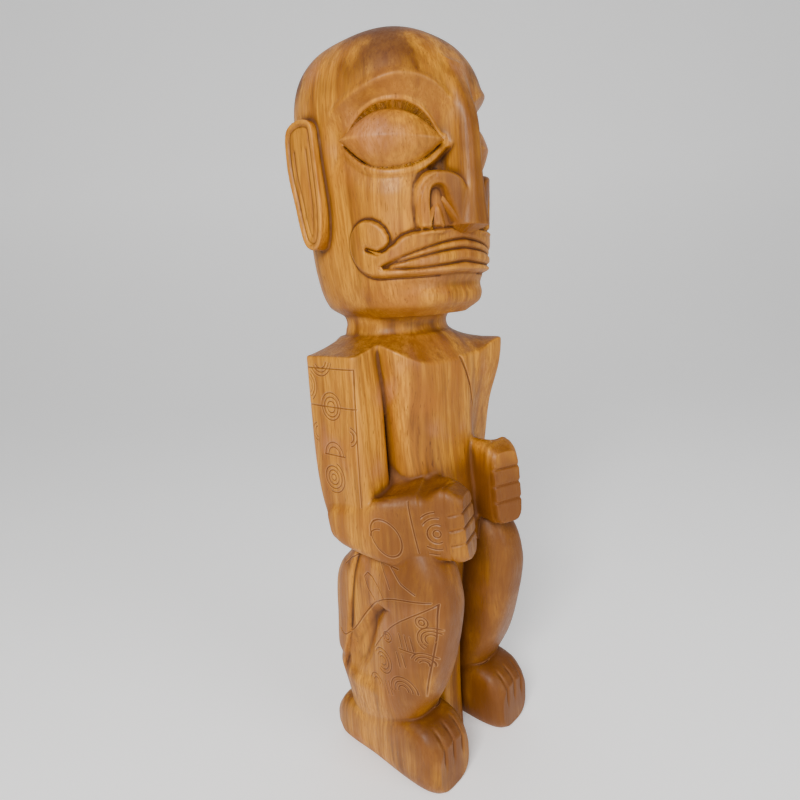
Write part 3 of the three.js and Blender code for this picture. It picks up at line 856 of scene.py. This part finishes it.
class Nodes:
    """Short calls for building a material."""

    def __init__(self, name):
        self.material = bpy.data.materials.new(name)
        self.material.use_nodes = True
        self.tree = self.material.node_tree
        self.shader = next(n for n in self.tree.nodes if n.type == "BSDF_PRINCIPLED")

    def put(self, target, value):
        if isinstance(value, bpy.types.NodeSocket):
            self.tree.links.new(value, target)
        elif isinstance(value, (tuple, list)):
            target.default_value = (*value, 1.0) if len(target.default_value) == 4 else value
        else:
            target.default_value = value

    def math(self, operation, a, b=0.0, clamp=False):
        node = self.tree.nodes.new("ShaderNodeMath")
        node.operation, node.use_clamp = operation, clamp
        self.put(node.inputs[0], a)
        self.put(node.inputs[1], b)
        return node.outputs[0]

    def vector(self, operation, a, b):
        node = self.tree.nodes.new("ShaderNodeVectorMath")
        node.operation = operation
        self.put(node.inputs[0], a)
        self.put(node.inputs[1], b)
        return node.outputs[0]

    def span(self, value, low, high, to_low=0.0, to_high=1.0):
        node = self.tree.nodes.new("ShaderNodeMapRange")
        node.interpolation_type = "SMOOTHSTEP"
        for i, v in enumerate((value, low, high, to_low, to_high)):
            self.put(node.inputs[i], v)
        return node.outputs[0]

    def noise(self, where, scale, detail=3.0, rough=0.55, distortion=0.0):
        node = self.tree.nodes.new("ShaderNodeTexNoise")
        for name, v in (("Vector", where), ("Scale", scale), ("Detail", detail),
                        ("Roughness", rough), ("Distortion", distortion)):
            self.put(socket(node, name), v)
        return node.outputs[0]

    def mix(self, share, a, b, mode="MIX"):
        node = self.tree.nodes.new("ShaderNodeMix")
        node.data_type, node.blend_type = "RGBA", mode
        node.clamp_factor = True
        for name, v in (("Factor", share), ("A", a), ("B", b)):
            self.put(socket(node, name), v)
        return next(o for o in node.outputs if o.enabled)

    def attribute(self, name):
        node = self.tree.nodes.new("ShaderNodeAttribute")
        node.attribute_name = name
        return node.outputs["Fac"]

    def bump(self, height, strength, distance, normal=None):
        node = self.tree.nodes.new("ShaderNodeBump")
        self.put(socket(node, "Height"), height)
        self.put(socket(node, "Strength"), strength)
        self.put(socket(node, "Distance"), distance)
        if normal is not None:
            self.put(socket(node, "Normal"), normal)
        return node.outputs[0]


GOLD = (0.58, 0.235, 0.008)
BROWN = (0.26, 0.084, 0.004)
DARK = (0.065, 0.016, 0.001)
RUST = (0.36, 0.105, 0.006)
MAUVE = (0.42, 0.16, 0.065)
CREASE_SHADE = (0.025, 0.006, 0.001)
WORN = (0.66, 0.27, 0.03)
DARK_STAIN_AND_SHADE = (0.125, 0.036, 0.001)
RAW_EDGE = (0.60, 0.32, 0.14)


PITH, RING_WIDTH = (0.035, 0.05), 0.0085     # metres


def carved_wood():
    w = Nodes("carved wood")
    place = w.tree.nodes.new("ShaderNodeTexCoord").outputs["Object"]
    split = w.tree.nodes.new("ShaderNodeSeparateXYZ")
    w.put(split.inputs[0], place)
    x, y, z = split.outputs
    sway = w.noise(w.vector("MULTIPLY", place, (1, 1, 0.35)), 14, 2.0)
    wander = w.tree.nodes.new("ShaderNodeCombineXYZ")
    w.put(wander.inputs[0], w.math("MULTIPLY", w.math("SUBTRACT", sway, 0.5), 0.03))
    w.put(wander.inputs[1], w.math("MULTIPLY", w.math("SUBTRACT", sway, 0.5), -0.022))
    bent = w.vector("ADD", place, wander.outputs[0])
    along = w.vector("MULTIPLY", bent, (1, 1, 0.07))
    # growth rings round an off-centre pith
    parts = w.tree.nodes.new("ShaderNodeSeparateXYZ")
    w.put(parts.inputs[0], bent)
    rx = w.math("SUBTRACT", parts.outputs[0], PITH[0])
    ry = w.math("SUBTRACT", parts.outputs[1], PITH[1])
    radius = w.math("SQRT", w.math("ADD", w.math("MULTIPLY", rx, rx), w.math("MULTIPLY", ry, ry)))
    radius = w.math("ADD", radius, w.math("MULTIPLY", w.noise(along, 30, 2.0), 0.016))
    year = w.math("FRACT", w.math("DIVIDE", radius, RING_WIDTH))
    ring_dark = w.math("MULTIPLY", w.span(year, 0.55, 0.98), w.span(year, 1.0, 0.985))
    streak = w.span(w.noise(along, 42, 4.0, 0.6), 0.38, 0.66)
    fibre = w.noise(w.vector("MULTIPLY", bent, (1, 1, 0.045)), 420, 3.0, 0.7)
    pores = w.span(w.noise(w.vector("MULTIPLY", bent, (1, 1, 0.09)), 900, 1.0), 0.64, 0.74)
    blotch = w.noise(place, 11, 3.0, 0.6)
    colour = w.mix(streak, GOLD, BROWN)
    colour = w.mix(w.span(w.noise(along, 95, 3.0), 0.48, 0.74, 0, 0.7), colour, DARK)
    colour = w.mix(w.math("MULTIPLY", ring_dark, 0.34), colour, BROWN)
    colour = w.mix(w.span(blotch, 0.52, 0.72, 0, 0.5), colour, RUST)
    colour = w.mix(w.span(w.noise(place, 17, 2.0), 0.56, 0.76, 0, 0.55), colour, MAUVE)
    colour = w.mix(w.span(fibre, 0.40, 0.64, 0, 0.62), colour, BROWN)
    colour = w.mix(w.math("MULTIPLY", pores, 0.62), colour, DARK)
    # darker over the crown, pale wear on the edges, painted shade with some grime in the creases
    crown = w.math("MULTIPLY", w.span(z, 0.722, 0.758), w.span(blotch, 0.32, 0.52))
    colour = w.mix(w.math("MULTIPLY", crown, 0.86), colour, DARK)
    edge = w.attribute("cavity")
    wear = w.math("MULTIPLY", w.span(edge, 0.35, 1.5), w.span(w.noise(place, 55, 3.0), 0.3, 0.65))
    colour = w.mix(w.math("MULTIPLY", wear, 0.55), colour, WORN)
    # painted shade in the creases, with some grime
    shaded_crease = w.span(w.math("ADD", edge, w.math("MULTIPLY", w.math("SUBTRACT", fibre, 0.5), 0.5)),
                    -0.2, -1.15)
    colour = w.mix(w.math("MULTIPLY", shaded_crease, 0.82), colour, CREASE_SHADE)
    # painted shade over the broad hollows
    hollow_shade = w.span(w.attribute("broad"), -0.1, -1.7)
    colour = w.mix(w.math("MULTIPLY", hollow_shade, 0.66), colour, DARK)
    # the foremost wood is stained darker; painted shade darkens the upward faces, the undersides and the
    # left leg
    low_front = w.math("MULTIPLY", w.span(y, 0.0, -0.05), w.span(z, 0.37, 0.335))
    high_front = w.math("MULTIPLY", w.span(y, -0.07, -0.09), w.span(z, 0.58, 0.61))
    front = w.math("MULTIPLY", w.math("MAXIMUM", low_front, high_front),
                   w.span(blotch, 0.3, 0.6, 0.45, 1.0))
    colour = w.mix(w.math("MULTIPLY", front, 0.88), colour, DARK_STAIN_AND_SHADE)
    tilt = w.tree.nodes.new("ShaderNodeSeparateXYZ")
    w.put(tilt.inputs[0], w.tree.nodes.new("ShaderNodeNewGeometry").outputs["Normal"])
    # painted shade: upward faces darker and undersides browner, as the light falls
    colour = w.mix(w.span(tilt.outputs[2], 0.35, 0.95, 0.0, 0.5), colour, DARK)
    colour = w.mix(w.span(tilt.outputs[2], -0.08, -0.6, 0.0, 0.5), colour, BROWN)
    # painted shade over the left leg
    left_leg_shade = w.math("MULTIPLY", w.span(x, 0.015, 0.04), w.span(z, 0.38, 0.30))
    colour = w.mix(w.math("MULTIPLY", left_leg_shade, 0.45), colour, DARK_STAIN_AND_SHADE)
    cut = w.attribute("engraved")
    lip = w.math("MULTIPLY", w.span(cut, 0.02, 0.18), w.span(cut, 0.5, 0.25))
    colour = w.mix(w.math("MULTIPLY", lip, 0.25), colour, RAW_EDGE)
    colour = w.mix(w.span(cut, 0.3, 0.9, 0, 0.7), colour, DARK)
    w.put(socket(w.shader, "Base Color"), colour)
    rough = w.math("ADD", w.span(fibre, 0.2, 0.8, 0.40, 0.58), w.math("MULTIPLY", shaded_crease, 0.25))
    rough = w.math("ADD", rough, w.span(blotch, 0.3, 0.7, -0.05, 0.07))
    w.put(socket(w.shader, "Roughness"), rough)
    w.put(socket(w.shader, "Specular IOR Level"), 0.26)
    w.put(socket(w.shader, "Coat Weight"), 0.06)
    w.put(socket(w.shader, "Coat Roughness"), 0.33)
    tool = w.noise(w.vector("MULTIPLY", place, (1, 1, 0.55)), 75, 2.0, 0.5)
    relief = w.bump(tool, 0.35, 0.0016)
    relief = w.bump(w.math("SUBTRACT", fibre, w.math("MULTIPLY", pores, 0.6)), 0.45, 0.0006, relief)
    w.put(socket(w.shader, "Normal"), relief)
    return w.material


wood_finish = carved_wood()
for piece_name in ORDER:
    make_piece(piece_name, wood_finish)


# ---------------------------------------------------------------- floor, light and camera
def floor():
    """A pale floor that bends up into a wall behind the figure."""
    mesh = bpy.data.meshes.new("floor")
    reach, wall, bend, height, half_width = 6.0, 3.2, 1.2, 6.0, 8
    profile = [(-reach, 0.0)] + [
        (wall - bend + bend * math.sin(a), bend - bend * math.cos(a))
        for a in np.linspace(0, math.pi / 2, 16)] + [(wall, height)]
    turn = math.radians(43)
    back = Vector((math.cos(turn), math.sin(turn), 0))
    side = Vector((-back.y, back.x, 0))
    verts = [tuple(back * d + side * s + Vector((0, 0, h)))
             for d, h in profile for s in (-half_width, half_width)]
    faces = [(2 * i, 2 * i + 2, 2 * i + 3, 2 * i + 1) for i in range(len(profile) - 1)]
    mesh.from_pydata(verts, [], faces)
    mesh.shade_smooth()
    w = Nodes("pale studio floor")
    place = w.tree.nodes.new("ShaderNodeTexCoord").outputs["Object"]
    w.put(socket(w.shader, "Base Color"),
          w.mix(w.noise(place, 3, 2.0), (0.92, 0.92, 0.92), (0.95, 0.95, 0.95)))
    w.put(socket(w.shader, "Roughness"), 0.8)
    w.put(socket(w.shader, "Emission Color"), (1.0, 1.0, 1.0))
    w.put(socket(w.shader, "Emission Strength"), 0.28)
    mesh.materials.append(w.material)
    obj = bpy.data.objects.new("floor", mesh)
    bpy.context.scene.collection.objects.link(obj)


floor()


def lamp(name, where, aim, size, power, colour):
    data = bpy.data.lights.new(name, "AREA")
    data.shape, data.size, data.energy, data.color = "SQUARE", size, power, colour
    obj = bpy.data.objects.new(name, data)
    bpy.context.scene.collection.objects.link(obj)
    obj.location = where
    obj.rotation_euler = (Vector(aim) - Vector(where)).to_track_quat("-Z", "Y").to_euler()


lamp("key", (-1.8, -0.9, 1.6), (0, 0, 0.4), 0.8, 70, (1.0, 0.98, 0.96))
lamp("fill", (0.1, -2.2, 1.0), (0, 0, 0.4), 1.0, 21, (0.96, 0.98, 1.0))
lamp("top", (-0.2, 0.1, 2.2), (0, 0, 0.5), 1.4, 4, (0.93, 0.96, 1.0))

world = bpy.data.worlds.new("studio")
bpy.context.scene.world = world
world.use_nodes = True
world.node_tree.nodes["Background"].inputs["Color"].default_value = (1, 1, 1, 1)
world.node_tree.nodes["Background"].inputs["Strength"].default_value = 0.22

CAMERA_TURN, CAMERA_PITCH, CAMERA_ROLL = math.radians(-47), math.radians(11.3), math.radians(3.6)
CAMERA_BACK, CAMERA_SIDE, CAMERA_HEIGHT = 0.660, -0.0197, 0.554
level = Vector((math.sin(CAMERA_TURN), -math.cos(CAMERA_TURN), 0))
right = Vector((math.cos(CAMERA_TURN), math.sin(CAMERA_TURN), 0))
back = level * math.cos(CAMERA_PITCH) + Vector((0, 0, math.sin(CAMERA_PITCH)))
up = back.cross(right)
rolled_right = right * math.cos(CAMERA_ROLL) - up * math.sin(CAMERA_ROLL)
rolled_up = right * math.sin(CAMERA_ROLL) + up * math.cos(CAMERA_ROLL)
spot = level * CAMERA_BACK + right * CAMERA_SIDE + Vector((0, CENTRING * MM, CAMERA_HEIGHT))
camera_data = bpy.data.cameras.new("camera")
camera_data.lens, camera_data.sensor_width = 26.55, 36.0
camera_data.clip_start = 0.02
camera = bpy.data.objects.new("camera", camera_data)
bpy.context.scene.collection.objects.link(camera)
camera.matrix_world = Matrix((
    (rolled_right.x, rolled_up.x, back.x, spot.x), (rolled_right.y, rolled_up.y, back.y, spot.y),
    (rolled_right.z, rolled_up.z, back.z, spot.z), (0, 0, 0, 1)))
bpy.context.scene.camera = camera
